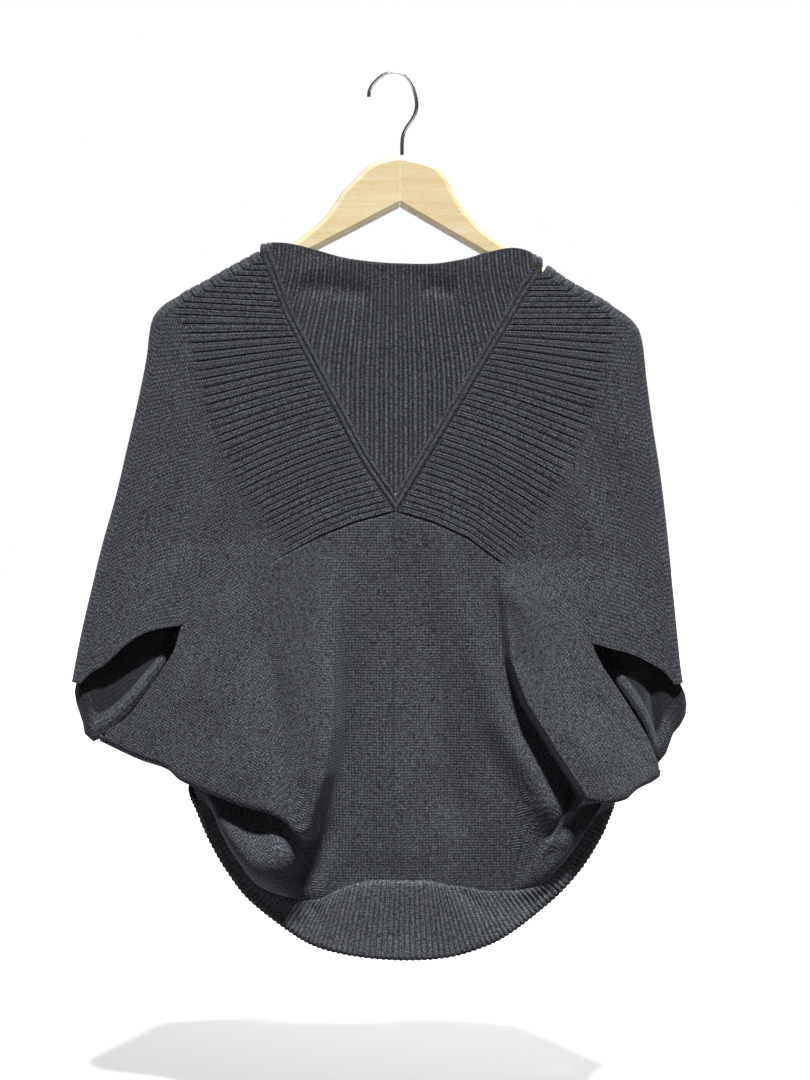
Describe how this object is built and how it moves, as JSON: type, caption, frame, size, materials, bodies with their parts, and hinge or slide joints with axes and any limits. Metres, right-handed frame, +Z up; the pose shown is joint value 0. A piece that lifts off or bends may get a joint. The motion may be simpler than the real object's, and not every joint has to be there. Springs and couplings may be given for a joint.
{
  "type": "open-front cocoon cardigan on a wooden hanger",
  "caption": "Batwing cocoon cardigan, open at its front, with ribbed yokes and a ribbed rim, hanging back to the viewer on a wooden hanger with a wire hook.",
  "frame": {"origin": "inside top of the hanger's hook, where the rail bears", "axes": "+Z up; +Y away from the viewer, from the cardigan's back towards its open front; +X to the viewer's right"},
  "size_m": [0.588, 0.0743, 0.8426],
  "materials": {
    "rib_knit": "dark charcoal ribbed knit, matt",
    "sleeve_knit": "dark charcoal rib fading into plain knit, matt",
    "plain_knit": "dark charcoal plain knit, matt",
    "hanger_wood": "pale yellow beech, satin lacquer",
    "hook_wire": "bright steel wire"
  },
  "bodies": {
    "root": {"collar_gusset": "rib_knit", "v_trim_left": "rib_knit", "v_trim_right": "rib_knit", "yoke_sleeve_left": "sleeve_knit", "yoke_sleeve_right": "sleeve_knit", "front_band_left": "rib_knit", "front_band_right": "rib_knit", "lower_back": "plain_knit", "hem_band_left": "rib_knit", "hem_band_back": "rib_knit", "hem_band_right": "rib_knit", "hanger_arm_left": "hanger_wood", "hanger_arm_right": "hanger_wood", "hanger_hook": "hook_wire"}
  },
  "joints": []
}
